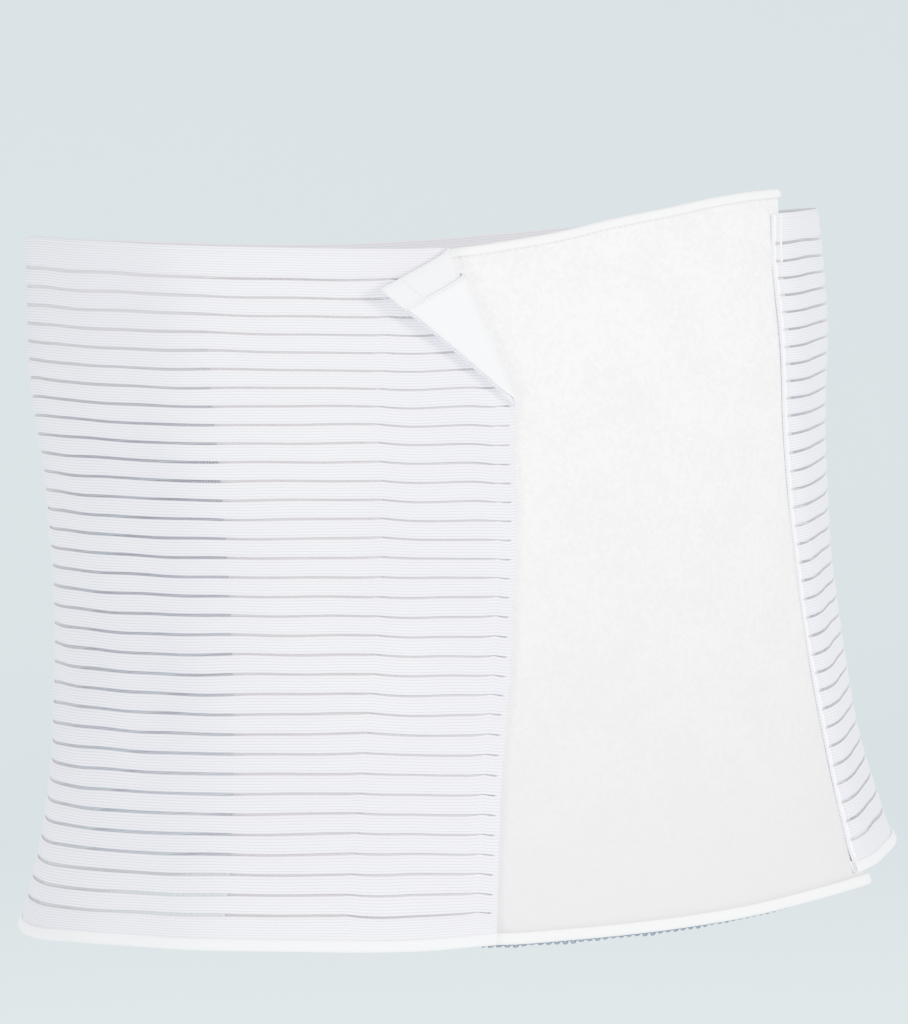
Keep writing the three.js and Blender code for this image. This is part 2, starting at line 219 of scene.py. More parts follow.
# Camera: its distance and direction from the binder, the point that it aims at and the photograph's scale
CAMERA_DISTANCE = 2000 * mm
CAMERA_AZIMUTH = math.radians(-15)
CAMERA_ELEVATION = math.radians(5)
CAMERA_ROLL = math.radians(3.5)
CAMERA_AIM = Vector((5.4 * mm, 0, 22 * mm))
PHOTO_HEIGHT = 1024
PIXEL_SIZE_AT_FRONT = 0.397 * mm
FRONT_DEPTH = 120 * mm
SENSOR = 36

# Bowl of the floor and backdrop, in metres
BACKDROP_REACH = 9
BACKDROP_FLAT = 3.5
BACKDROP_RISE = 0.35
FLOOR_HEIGHT = -0.62


def follow(rows, at, column=1):
    """Smooth curve through a table's rows: a cubic in each gap, whose slope at a row is that of the
    line between the rows on its two sides. Level beyond the ends."""
    x, y = rows[:, 0], rows[:, column]
    before, after = np.maximum(np.arange(len(x)) - 1, 0), np.minimum(np.arange(len(x)) + 1, len(x) - 1)
    slope = (y[after] - y[before]) / (x[after] - x[before])
    at = np.clip(at, x[0], x[-1])
    k = np.clip(np.searchsorted(x, at, side="right") - 1, 0, len(x) - 2)
    span = x[k + 1] - x[k]
    u = (at - x[k]) / span
    return (
        (2 * u**3 - 3 * u**2 + 1) * y[k]
        + (u**3 - 2 * u**2 + u) * span * slope[k]
        + (3 * u**2 - 2 * u**3) * y[k + 1]
        + (u**3 - u**2) * span * slope[k + 1]
    )


def between(at, start, end):
    """0 before start and 1 after end, with a smooth step 3u^2 - 2u^3 between them."""
    u = np.clip((at - start) / (end - start), 0, 1)
    return u * u * (3 - 2 * u)


def near(at, middle, width):
    """A bell, 1 at the middle: e to the minus square of the distance over the width."""
    return np.exp(-(((at - middle) / width) ** 2))


def wrapped_form(angle, z, proud=0.0):
    """The wrapped form's section at height z: an ellipse whose corners are filled out by a share of the
    squared cosine and sine. Gives x, y and the level direction away from it."""
    share = z / BINDER_HEIGHT
    half_width = WAIST_HALF_WIDTH * follow(FORM_SECTIONS, share, 1) + proud
    half_depth = WAIST_HALF_DEPTH * follow(FORM_SECTIONS, share, 2) + proud
    sine, cosine = np.sin(angle), np.cos(angle)
    full = np.where(cosine > 0, FRONT_FULLNESS, BACK_FULLNESS)
    deep = np.where(cosine > 0, half_depth, half_depth * BACK_DEPTH_SHARE)
    x = half_width * sine * (1 + full * cosine**2)
    y = -deep * cosine * (1 + full * sine**2)
    along_x = half_width * cosine * (1 + full * (cosine**2 - 2 * sine**2))
    along_y = deep * sine * (1 + full * (sine**2 - 2 * cosine**2))
    length = np.hypot(along_x, along_y)
    return x, y, along_y / length, -along_x / length


# Running length round the waist outside one layer of elastic, for angles of one turn each way
turn_angles = np.linspace(-2 * math.pi, 2 * math.pi, 1441 * 2 - 1)
waist_x, waist_y, _, _ = wrapped_form(turn_angles, 0.0, ELASTIC_THICKNESS)
waist_steps = np.hypot(np.diff(waist_x), np.diff(waist_y))
turn_lengths = np.concatenate([[0], np.cumsum(waist_steps)])
GIRTH = turn_lengths[-1] / 2
turn_lengths = turn_lengths - GIRTH


def place(along, z, off):
    """The point at a length along the girth, a height, and a distance off the form."""
    x, y, out_x, out_y = wrapped_form(np.interp(along, turn_lengths, turn_angles), z)
    return np.stack(np.broadcast_arrays(x + out_x * off, y + out_y * off, z), axis=-1)


def wrap_top(along):
    return BINDER_HEIGHT * (0.5 + follow(WRAP_EDGES, -along / GIRTH, 1))


def wrap_low(along):
    return BINDER_HEIGHT * (-0.5 + follow(WRAP_EDGES, -along / GIRTH, 2))


def wrap_height(along, up):
    """Height of a place on the wrap, from its distance above the lower edge. The rows between the
    two edges swell upwards a little in the middle, and wander up and down by the row lift."""
    share = up / BINDER_HEIGHT
    low = wrap_low(along)
    low_lift, high_lift = follow(ROW_LIFT, -along / GIRTH, 1), follow(ROW_LIFT, -along / GIRTH, 2)
    rise = np.clip((share - LIFT_SHARES[0]) / (LIFT_SHARES[1] - LIFT_SHARES[0]), 0, 1)
    lift = (low_lift + (high_lift - low_lift) * rise) * mm
    lift = lift * between(share, 0, 0.08) * (1 - between(share, 0.7, 0.95))
    return low + (wrap_top(along) - low) * (share + ROW_SWELL * share * (1 - share)) + lift


def panel_top(along):
    free = BINDER_HEIGHT * (0.5 + follow(PANEL_EDGES, along / GIRTH, 1))
    seam = wrap_top(SEAM_AT - GIRTH) + TOP_BINDING_HEIGHT + PANEL_TOP_OVERHANG
    return free + (seam - free) * between(along, SEAM_AT / 2, SEAM_AT)


def panel_low(along):
    free = BINDER_HEIGHT * (-0.5 + follow(PANEL_EDGES, along / GIRTH, 2))
    seam = wrap_low(SEAM_AT - GIRTH) - LOW_BINDING_HEIGHT - PANEL_LOW_OVERHANG
    return free + (seam - free) * between(along, SEAM_AT / 2, SEAM_AT)


def lap_end(up):
    return GIRTH * follow(LAP_END, up / BINDER_HEIGHT)


def seam_line(share):
    return SEAM_AT + GIRTH * follow(SEAM_LINE, share)


def hook_edge(up):
    return lap_end(up) - HOOK_FROM_END - HOOK_WIDTH


def wrap_offset(along, up):
    """Distance of the wrap's inner face off the form. It lifts over the panel at the seam and at the
    lap, and the seam's stitches draw it down a little."""
    panel_edge = seam_line(up / BINDER_HEIGHT) - GIRTH + SEAM_OVERLAP + EDGE_CLEARANCE
    over_seam = 1 - between(along, panel_edge, panel_edge + SEAM_RAMP)
    over_panel = between(along, PANEL_FREE_END - LAP_RAMP, PANEL_FREE_END - EDGE_CLEARANCE)
    over_hook = between(along, hook_edge(up) - CREASE_RAMP, hook_edge(up) - EDGE_CLEARANCE)
    sewn_down = (1 - between(along, panel_edge - SEAM_OVERLAP + 1 * mm, panel_edge)) * over_seam
    sewn_down = sewn_down * between(up, 5 * mm, 9 * mm)
    return (
        SEAM_OFFSET * over_seam
        - SEAM_SINK * sewn_down
        + LAP_OFFSET * over_panel
        + (OVER_HOOK_OFFSET - LAP_OFFSET) * over_hook
    )


fold_low_up = BINDER_HEIGHT - FOLD_DOWN_END
fold_top = np.array([lap_end(BINDER_HEIGHT) - FOLD_ALONG_TOP, 0])
fold_top[1] = wrap_top(fold_top[0])
fold_low = np.array([lap_end(fold_low_up), wrap_height(lap_end(fold_low_up), fold_low_up)])
fold_length = np.hypot(*(fold_low - fold_top))
fold_down = (fold_low - fold_top) / fold_length
fold_across = np.array([-fold_down[1], fold_down[0]])


def turned(along, z, off):
    """A place on the lap with its corner turned back. Past the fold line, cloth rolls round an axis
    that lies in front of the wrap along that line, and beyond the roll it runs back straight,
    slanting up a little."""
    from_along, from_z = along - fold_top[0], z - fold_top[1]
    distance = from_along * fold_across[0] + from_z * fold_across[1]
    on_fold = from_along * fold_down[0] + from_z * fold_down[1]
    fold_share = np.clip(on_fold / fold_length, 0, 1)
    inside = FOLD_RADIUS_TOP + (FOLD_RADIUS_LOW - FOLD_RADIUS_TOP) * fold_share
    axis = OVER_HOOK_OFFSET + ELASTIC_THICKNESS + inside
    radius = axis - off
    middle = inside + ELASTIC_THICKNESS / 2
    turn = np.clip(distance / middle, 0, FOLD_ANGLE)
    beyond = np.maximum(distance - middle * FOLD_ANGLE, 0)
    sideways = radius * np.sin(turn) + beyond * np.cos(turn)
    outwards = axis - radius * np.cos(turn) + beyond * np.sin(turn)
    lengthwise = on_fold - FOLD_SLANT * beyond
    past = distance > 0
    return place(
        np.where(past, fold_top[0] + lengthwise * fold_down[0] + sideways * fold_across[0], along),
        np.where(past, fold_top[1] + lengthwise * fold_down[1] + sideways * fold_across[1], z),
        np.where(past, outwards, off),
    )


# Making meshes

def grid_faces(rows, columns, closed_columns=False):
    """Quads of a grid of points, row by row, as point numbers. Closed columns join the last to the
    first."""
    across = columns if closed_columns else columns - 1
    i, j = np.meshgrid(np.arange(rows - 1), np.arange(across), indexing="ij")
    following = (j + 1) % columns
    return np.stack([i * columns + j, i * columns + following, (i + 1) * columns + following,
                     (i + 1) * columns + j], axis=-1).reshape(-1, 4)


def sheet_faces(columns, rows):
    """Quads of a closed sheet: an outer grid of points, an inner grid after it, and the rim between."""
    number = np.arange(columns * rows).reshape(columns, rows)
    rim = np.concatenate([number[:, 0], number[-1, 1:], number[-2::-1, -1], number[0, -2:0:-1]])
    after = np.roll(rim, -1)
    rim_faces = np.stack([rim, after, after + number.size, rim + number.size], axis=1)[:, ::-1]
    grid = grid_faces(columns, rows)
    return np.concatenate([grid[:, ::-1], grid + number.size, rim_faces])


def repeated(faces, copies, points_each):
    """The same faces for many copies of a shape, whose points follow each other."""
    return (faces[None] + (np.arange(copies) * points_each)[:, None, None]).reshape(-1, faces.shape[1])


def make_piece(name, points, face_groups, cloth_uv=None, edge=None):
    """A mesh object from an array of points, groups of faces with equal corner counts, and, where a
    pattern follows the cloth, a pair of cloth coordinates and an edge share, mostly painted shade, for each
    point."""
    mesh = bpy.data.meshes.new(name)
    flat = np.concatenate([np.asarray(group).ravel() for group in face_groups]).astype(np.int32)
    sizes = np.concatenate([np.full(len(group), np.asarray(group).shape[1]) for group in face_groups])
    mesh.vertices.add(len(points))
    mesh.vertices.foreach_set("co", np.asarray(points, dtype=np.float32).ravel())
    mesh.loops.add(len(flat))
    mesh.loops.foreach_set("vertex_index", flat)
    mesh.polygons.add(len(sizes))
    starts = np.concatenate([[0], np.cumsum(sizes)[:-1]])
    mesh.polygons.foreach_set("loop_start", starts.astype(np.int32))
    mesh.polygons.foreach_set("use_smooth", np.ones(len(sizes), dtype=bool))
    if cloth_uv is not None:
        layer = mesh.uv_layers.new(name="cloth")
        layer.data.foreach_set("uv", np.asarray(cloth_uv, dtype=np.float32)[flat].ravel())
    if edge is not None:
        shares = mesh.attributes.new("edge", "FLOAT", "POINT")
        shares.data.foreach_set("value", edge.astype(np.float32).ravel())
    mesh.update(calc_edges=True)
    mesh.validate()
    piece = bpy.data.objects.new(name, mesh)
    bpy.context.scene.collection.objects.link(piece)
    return piece


def finish_piece(piece, slot, material, *nodes):
    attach(piece, "root")
    if nodes:
        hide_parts(*nodes)
    piece.data.materials.append(material)
    return piece


def along_stations(landmarks, counts):
    """Places along the girth for each level: every gap between two landmarks is cut in equal steps.
    Landmarks is (landmarks, levels), and the result is (stations, levels)."""
    pieces = [landmarks[k] + (landmarks[k + 1] - landmarks[k]) * (np.arange(n) / n)[:, None]
              for k, n in enumerate(counts)]
    return np.concatenate(pieces + [landmarks[-1][None]])


# Step counts of the wrap between its landmarks
WRAP_STEPS = {"seam_hem": 4, "seam_lift": 6, "seam_ramp": 8, "round": 104, "lap_ramp": 8,
              "over_panel": 16, "crease": 6, "to_fold": 10, "roll": 16, "flap": 12, "hem": 3}


def wrap_landmarks(up):
    """Places where the wrap changes, from its seam end to its lap end, at each distance up."""
    seam = seam_line(up / BINDER_HEIGHT) - GIRTH
    end = lap_end(up)
    fold_width = np.maximum(FOLD_ALONG_TOP * (up - fold_low_up) / FOLD_DOWN_END, 9 * mm)
    start = end - fold_width
    roll = np.minimum((FOLD_RADIUS_TOP + ELASTIC_THICKNESS / 2) * FOLD_ANGLE / fold_across[0],
                      0.7 * (end - LAP_HEM - start))
    edge = hook_edge(up)
    level = np.ones_like(up)
    return np.stack([
        seam,
        seam + SEAM_HEM,
        seam + SEAM_OVERLAP + EDGE_CLEARANCE,
        seam + SEAM_OVERLAP + EDGE_CLEARANCE + SEAM_RAMP,
        (PANEL_FREE_END - LAP_RAMP) * level,
        (PANEL_FREE_END - EDGE_CLEARANCE) * level,
        edge - CREASE_RAMP,
        edge + CREASE_RAMP,
        start,
        start + roll,
        end - LAP_HEM,
        end,
    ])


def wandering(along, row, seed, size):
    """A slow, seeded unevenness: four sine waves whose lengths run from 40 to 160 mm."""
    chance = np.random.default_rng(seed)
    total = 0.0
    for length in (40 * mm, 67 * mm, 105 * mm, 160 * mm):
        drift, start = chance.uniform(0.05, 0.22), chance.uniform(0, 2 * math.pi)
        total = total + np.sin(2 * math.pi * along / length + drift * 2 * math.pi * row + start)
    return size * total / 2


def slit_shape(along, slit, up):
    """Shift of a slit's middle and its half width. A slit closes in the seam's and the lap's hem, is
    nearly closed at the back, and narrows where the hook strip's edge and the hem's stitches pinch
    the ribs."""
    seam = seam_line(up / BINDER_HEIGHT) - GIRTH
    end = lap_end(up)
    crease = hook_edge(up)
    shift = wandering(along, slit, 3, 0.22 * mm)
    shift = shift + 0.45 * mm * near(along, end - LAP_STITCH, 2.6 * mm)
    shift = shift - 0.4 * mm * near(along, crease + 12 * mm, 9 * mm)
    shift = shift + 0.25 * mm * near(along, crease, 2.5 * mm)
    hem_from = np.where(slit >= SLIT_COUNT - 3, 1.5 * mm, SEAM_HEM)
    is_open = between(along, seam + hem_from - 0.6 * mm, seam + hem_from + 1.2 * mm)
    is_open = is_open * (1 - between(along, end - LAP_HEM - 1 * mm, end - LAP_HEM + 0.3 * mm))
    pinch = 1 - 0.45 * near(along, end - LAP_STITCH, 1.8 * mm) - 0.3 * near(along, crease, 1.6 * mm)
    width = 1 + wandering(along, slit * 2.3, 5, 0.07)
    round_share = -along / GIRTH
    behind = between(round_share, 0.26, 0.33) * (1 - between(round_share, 0.69, 0.75))
    over_panel = between(along, PANEL_FREE_END, PANEL_FREE_END + 5 * mm)
    over_hook = between(along, crease - 4 * mm, crease + 3 * mm)
    width = width * (1 - BACK_NARROWING * behind) * (1 - OVER_PANEL_NARROWING * over_panel)
    width = width * (1 - OVER_HOOK_NARROWING * over_hook)
    return shift, SLIT_WIDTH / 2 * np.clip(is_open * pinch * width, 0.03, None)


def rib_relief(along, up):
    """Small ups and downs of the wrap's outer face: grooves at the stitches and the crease, the lap's
    doubled hem, and slow waves."""
    end = lap_end(up)
    relief = -0.5 * mm * near(along, end - LAP_STITCH, 1.3 * mm)
    relief = relief - 0.35 * mm * near(along, hook_edge(up) - 1.5 * mm, 1.6 * mm)
    relief = relief + 0.35 * mm * between(along, end - LAP_HEM_DOUBLED, end - LAP_HEM_DOUBLED + 2 * mm)
    seam = seam_line(up / BINDER_HEIGHT) - GIRTH
    relief = relief - 0.4 * mm * near(along, seam + SEAM_HEM, 1.2 * mm)
    return relief + wandering(along, up / ROW_PITCH, 8, 0.12 * mm)


# Section of a rib: place across it, then outer points' share of the thickness, then inner ones
RIB_ACROSS_OUT = np.array([0.0, 0.035, 0.13, 0.35, 0.65, 0.87, 0.965, 1.0])
RIB_ACROSS_IN = np.array([0.97, 0.7, 0.3, 0.03])


# Whole cords in the low band, in each rib and in the top band, and the count at each one's upper edge
CORD_COUNTS = np.full(SLIT_COUNT + 1, round((ROW_PITCH - SLIT_WIDTH) / CORD_PITCH))
CORD_COUNTS[0] = round(LOW_BAND / CORD_PITCH)
CORD_COUNTS[-1] = round(TOP_BAND / CORD_PITCH)
FIRST_CORD = np.cumsum(CORD_COUNTS)
TOTAL_CORDS = int(FIRST_CORD[-1])


def elastic_wrap(material):
    """Each rib and band is a closed bar. Its section runs across the rib, with an outer face whose
    height is one less a share of the sixth power of the distance from the middle, and an inner face
    that rises towards its edges by a small share of the fourth power."""
    ribs = np.arange(SLIT_COUNT + 1)
    slit_up = LOW_BAND + ROW_PITCH * np.arange(SLIT_COUNT)
    low_up = np.concatenate([[BINDING_WALL + GAP], slit_up])
    high_up = np.concatenate([slit_up, [BINDER_HEIGHT]])
    across = np.concatenate([RIB_ACROSS_OUT, RIB_ACROSS_IN])
    is_inner = np.arange(len(across)) >= len(RIB_ACROSS_OUT)
    edge_distance = np.abs(2 * across - 1)
    proud = np.where(is_inner, 0.1 * edge_distance**4, 1 - 0.4 * edge_distance**6)

    up = low_up[:, None] + (high_up - low_up)[:, None] * across
    along = along_stations(wrap_landmarks(up.ravel()), WRAP_STEPS.values()).reshape(-1, *up.shape)
    from_end = lap_end(up) - along
    from_seam = along - (seam_line(up / BINDER_HEIGHT) - GIRTH)
    doubled = between(from_end, LAP_HEM_DOUBLED + 0.4 * mm, LAP_HEM_DOUBLED - 0.2 * mm) * is_inner
    low_shift, low_half = slit_shape(along, (ribs - 1)[:, None], up)
    high_shift, high_half = slit_shape(along, ribs[:, None], up)
    low_half, high_half = low_half * (1 - 0.98 * doubled), high_half * (1 - 0.98 * doubled)
    is_first, is_last = (ribs == 0)[:, None], (ribs == SLIT_COUNT)[:, None]
    low = low_up[:, None] + np.where(is_first, 0, low_shift + low_half)
    high = high_up[:, None] + np.where(is_last, 0, high_shift - high_half)
    up_now = low + (high - low) * across

    edge_round = np.sqrt(np.clip(np.minimum(from_end / (1.2 * mm), from_seam / (3.5 * mm)), 0.12, 1))
    thick = ELASTIC_THICKNESS * (0.5 + (proud - 0.5) * edge_round)
    in_top_band = up > BINDER_HEIGHT - TOP_BAND
    hem_step = -0.7 * mm * doubled + 0.5 * mm * near(from_end, LAP_HEM_DOUBLED + 0.6 * mm, 0.8 * mm)
    relief = np.where(is_inner, hem_step * in_top_band, rib_relief(along, up))
    points = turned(along, wrap_height(along, up_now), wrap_offset(along, up) + thick + relief)

    stations = points.shape[0]
    points = points.transpose(1, 0, 2, 3).reshape(-1, 3)
    around = len(across)
    rings = repeated(grid_faces(stations, around, True), len(ribs), stations * around)
    cap = np.arange(around)
    caps = repeated(np.array([cap[::-1], (stations - 1) * around + cap]), len(ribs), stations * around)
    cord = (FIRST_CORD - CORD_COUNTS)[:, None] + CORD_COUNTS[:, None] * across
    cloth = np.stack([along, np.broadcast_to(cord, along.shape)], axis=-1)
    cloth = cloth.transpose(1, 0, 2, 3).reshape(-1, 2)
    # Painted shade, carried by the edge share: the slits' sides darken, less in the doubled hem and the
    # seam's hem
    open_share = np.clip(2.2 * np.maximum(low_half, high_half) / (SLIT_WIDTH / 2), 0, 1)
    in_slit = between(edge_distance, 0.9, 0.99) * open_share
    in_slit = in_slit * (1 - 0.8 * between(from_end, LAP_HEM_DOUBLED + 2 * mm, LAP_HEM_DOUBLED - 2 * mm))
    # Painted shade over the inner face away from the lap and the seam, so the hollow looks dark through the
    # slits
    hollow_shade = between(from_end, HOOK_WIDTH, HOOK_WIDTH + 10 * mm)
    hollow_shade = hollow_shade * between(from_seam, SEAM_OVERLAP, 2 * SEAM_OVERLAP)
    in_slit = in_slit * between(from_seam, 0.5 * SEAM_HEM, SEAM_HEM)
    in_slit = np.maximum(in_slit, COVERED_SHADE * is_inner * hollow_shade)
    # Painted shade at the doubled hem's step and beside the hook strip's crease
    in_shade = between(from_end, LAP_HEM_DOUBLED, LAP_HEM_DOUBLED - 2 * mm)
    in_shade = in_shade + near(along, hook_edge(up) + 4 * mm, 4 * mm)
    in_slit = np.maximum(in_slit, HEM_SHADE * in_shade)
    is_reverse = is_inner * (from_end < HOOK_WIDTH) * in_top_band
    in_slit = np.where(is_reverse, -1, in_slit).transpose(1, 0, 2).reshape(-1)
    piece = make_piece("ribbed_wrap", points, [rings, caps], cloth, in_slit)
    return finish_piece(piece, "ribbed_elastic", material, "elastic_wrap")


def folded_binding(name, stations, inner, thickness, edge, height, upwards):
    """A folded binding round an edge: a channel whose section is a rounded U, carried along the edge."""
    turn = np.linspace(0, math.pi, 9)
    outer_half = thickness / 2 + GAP + BINDING_WALL
    inner_half = thickness / 2 + 0.1 * mm
    low_round = outer_half * 0.85
    outside = np.stack([np.cos(turn) * outer_half, low_round - np.sin(turn) * low_round], axis=1)[::-1]
    lip = np.array([(outer_half, height - 0.7 * mm), (outer_half - 0.25 * mm, height - 0.1 * mm),
                    (inner_half + 0.1 * mm, height), (inner_half, height - 0.5 * mm)])
    channel = np.array([(inner_half, 1.1 * mm), (-inner_half, 1.1 * mm)])
    section = np.concatenate([outside, lip, channel, (lip * (-1, 1))[::-1]])
    off = inner + thickness / 2
    away = section[:, 0] + off[:, None]
    rise = section[:, 1] if upwards else -section[:, 1]
    rings = place(stations[:, None], edge(stations)[:, None] + rise, away)
    if not upwards:
        rings = rings[:, ::-1]
    count, around = rings.shape[:2]
    lengths = np.concatenate([[0], np.cumsum(np.hypot(*np.diff(section, axis=0).T))])
    cloth = np.stack(np.broadcast_arrays(stations[:, None], lengths if upwards else lengths[::-1]), axis=-1)
    caps = np.array([np.arange(around)[::-1], (count - 1) * around + np.arange(around)])
    faces = [grid_faces(count, around, True), caps]
    return make_piece(name, rings.reshape(-1, 3), faces, cloth.reshape(-1, 2))


def wrap_low_binding(material):
    low = np.array([0.0])
    stations = along_stations(wrap_landmarks(low), WRAP_STEPS.values())[:, 0]
    inner = wrap_offset(stations, 0 * stations)
    piece = folded_binding("wrap_piping", stations, inner, ELASTIC_THICKNESS, wrap_low,
                           LOW_BINDING_HEIGHT, True)
    return finish_piece(piece, "wrap_binding", material, "wrap_low_binding")


def panel_surface(along_share, share, outside):
    """Points of the panel's faces. The thickness rises from the sewn border's to the foam's in a
    smooth step, with a faint roll beside it, and the face waves a little."""
    stations = PANEL_FREE_END + (seam_line(share) + SEAM_OVERLAP - PANEL_FREE_END) * along_share
    low, top = panel_low(stations) + BINDING_WALL + GAP, panel_top(stations) - BINDING_WALL - GAP
    z = low + (top - low) * share
    from_low = z - panel_low(stations) - LOW_BINDING_HEIGHT
    from_top = panel_top(stations) - TOP_BINDING_HEIGHT - z
    from_free = stations - PANEL_FREE_END
    wrap_bottom, wrap_rim = wrap_low(SEAM_AT - GIRTH), wrap_top(SEAM_AT - GIRTH)
    wrap_share = np.clip((z - wrap_bottom) / (wrap_rim - wrap_bottom), 0, 1)
    from_seam = seam_line(wrap_share) - 0.1 * mm - stations
    from_end = seam_line(share) + SEAM_OVERLAP - stations
    full = 1.0
    for distance, border in ((from_low, 1), (from_top, 1), (from_free, 1), (from_seam, 0.13)):
        full = full * between(distance, 0, PANEL_BORDER * border)
    rolled = 0.25 * mm * near(from_low, 9 * mm, 4 * mm) + 0.15 * mm * near(from_top, 8 * mm, 4 * mm)
    waves = wandering(stations, z / (60 * mm), 11, 0.16 * mm)
    waves = waves + wandering(z, stations / (70 * mm), 12, 0.16 * mm)
    wrap_hook = hook_edge(z + BINDER_HEIGHT / 2)
    under_lap = between(stations, PANEL_FREE_END, PANEL_FREE_END + 12 * mm)
    under_lap = under_lap * (1 - between(stations, wrap_hook - 12 * mm, wrap_hook - 5 * mm))
    thick = PANEL_THICKNESS + PRESSED_OUT * under_lap
    face = PANEL_BORDER_THICKNESS + (thick - PANEL_BORDER_THICKNESS + rolled + waves) * full
    edge = np.minimum(np.minimum(z - low, top - z), np.minimum(from_free, from_end))
    middle = PANEL_BORDER_THICKNESS / 2
    rounding = np.sqrt(np.clip(edge / (0.7 * mm), 0.02, 1))
    off = middle + (face - middle) * rounding if outside else middle - middle * rounding
    # Painted shade: in the grooves beside the bindings, on the panel under the lap, and on its border that
    # shows through the slits at the seam
    painted_shade = near(from_low, -0.2 * mm, 1.3 * mm) + 0.4 * near(from_top, 0.2 * mm, 1 * mm)
    painted_shade = np.maximum(painted_shade, COVERED_SHADE * (1 - between(stations, wrap_hook - 6 * mm, wrap_hook)))
    under_wrap = between(-from_seam, SEAM_HEM - 0.6 * mm, SEAM_HEM + 0.6 * mm)
    under_wrap = under_wrap * between(z, wrap_bottom, wrap_bottom + 4 * mm)
    under_wrap = under_wrap * between(z, wrap_rim - 4 * mm, wrap_rim - 8 * mm)
    painted_shade = np.maximum(painted_shade, COVERED_SHADE * under_wrap)
    return place(stations, z, off), stations, z, painted_shade


def eased(count):
    """Shares from 0 to 1 that are closer near both ends: half of one less a cosine, whose swing is
    smaller in the middle by a share of the squared sine."""
    turn = np.linspace(0, math.pi, count)
    return 0.5 - 0.5 * np.cos(turn) * (1 - 0.55 * np.sin(turn) ** 2)


def loop_panel(material):
    """A padded panel: an outer and an inner face over one grid of shares, joined round the border."""
    columns, rows = 118, 128
    i, j = np.meshgrid(eased(columns), eased(rows), indexing="ij")
    outer, stations, z, painted_shade = panel_surface(i, j, True)
    inner = panel_surface(i, j, False)[0]
    points = np.concatenate([outer.reshape(-1, 3), inner.reshape(-1, 3)])
    cloth = np.tile(np.stack([stations, z], axis=-1).reshape(-1, 2), (2, 1))
    painted_shade = np.tile(painted_shade.ravel(), 2)
    piece = make_piece("velour_panel", points, [sheet_faces(columns, rows)], cloth, painted_shade)
    return finish_piece(piece, "loop_velour", material, "loop_panel")


def panel_bindings(top_material, low_material):
    shares = np.linspace(0, 1, 130)
    top_stations = PANEL_FREE_END + (seam_line(1.0) + SEAM_OVERLAP - PANEL_FREE_END) * shares
    low_stations = PANEL_FREE_END + (seam_line(0.0) + SEAM_OVERLAP - PANEL_FREE_END) * shares
    top = folded_binding("panel_top_piping", top_stations, 0 * shares, PANEL_BORDER_THICKNESS, panel_top,
                         TOP_BINDING_HEIGHT, False)
    low = folded_binding("panel_low_piping", low_stations, 0 * shares, PIPING_THICKNESS, panel_low,
                         LOW_BINDING_HEIGHT, True)
    finish_piece(top, "panel_top_binding", top_material, "panel_top_binding")
    finish_piece(low, "panel_low_binding", low_material, "panel_low_binding")


def hook_strip(material, backing_shade):
    """A thin strip with a rounded rim: an outer and an inner face over one grid, turned with the lap.
    The outer face is the plain backing, coloured dark as painted shade for the slits above it, up to its
    last few columns at the lap's end."""
    rows = 90
    up = HOOK_END_MARGIN + (BINDER_HEIGHT - 2 * HOOK_END_MARGIN) * np.linspace(0, 1, rows)
    fold_start, roll_end = wrap_landmarks(up)[8:10]
    marks = np.stack([hook_edge(up), fold_start, roll_end, lap_end(up) - HOOK_FROM_END])
    along = along_stations(marks, (16, 16, 14))
    columns = along.shape[0]
    z = wrap_height(along, up)
    edge = np.minimum(np.minimum(along - along[0], along[-1] - along), np.minimum(up - up[0], up[-1] - up))
    rounding = np.sqrt(np.clip(edge / (0.8 * mm), 0.05, 1))
    faces = [turned(along, z, HOOK_OFFSET + HOOK_THICKNESS * (0.5 + side * rounding))
             for side in (0.5, -0.5)]
    quads = sheet_faces(columns, rows)
    cloth = np.tile(np.stack(np.broadcast_arrays(along, up), axis=-1).reshape(-1, 2), (2, 1))
    points = np.concatenate([face.reshape(-1, 3) for face in faces])
    piece = make_piece("hook_tape", points, [quads], cloth)
    finish_piece(piece, "hook_tape", material, "hook_strip")
    piece.data.materials.append(backing_shade)
    backed_columns = columns - 8
    is_backing = np.arange(len(quads)) < backed_columns * (rows - 1)
    piece.data.polygons.foreach_set("material_index", is_backing.astype(np.int32))
    return piece


def cords(name, paths, radii):
    """Round cords with closed ends, each swept along a path: every ring is the path's point plus the
    radius times the cosine and sine of an angle on two directions square to the path."""
    count, length = paths.shape[:2]
    tangent = np.gradient(paths, axis=1)
    outwards = paths * (1, 1, 0)
    side = np.cross(tangent, outwards)
    side = side / np.linalg.norm(side, axis=2, keepdims=True)
    lift = np.cross(side, tangent)
    lift = lift / np.linalg.norm(lift, axis=2, keepdims=True)
    angle = np.linspace(0, 2 * math.pi, 7)[:-1]
    spread = np.cos(angle)[:, None] * side[:, :, None] + np.sin(angle)[:, None] * lift[:, :, None]
    rings = paths[:, :, None] + np.broadcast_to(radii, (count, length))[:, :, None, None] * spread
    points_each = length * len(angle)
    walls = repeated(grid_faces(length, len(angle), True), count, points_each)
    around = np.arange(len(angle))
    caps = repeated(np.array([around[::-1], (length - 1) * len(angle) + around]), count, points_each)
    return make_piece(name, rings.reshape(-1, 3), [walls, caps])


def stitches(name, at, start, end, length, gap, radius):
    """Stitches in a row: cords whose middle stands proud and whose ends go into the cloth. The function
    at gives the points for places along the row and a lift off the cloth."""
    count = int(abs(end - start) / (length + gap))
    share = np.linspace(0, 1, 7)
    first = start + (end - start) * np.arange(count)[:, None] / count
    along = first + math.copysign(length, end - start) * share
    arch = np.sin(math.pi * share)
    lift = radius * (1.3 * arch**0.6 - 0.5)
    return cords(name, at(along, np.broadcast_to(lift, along.shape)), radius * (0.35 + 0.65 * arch**0.5))


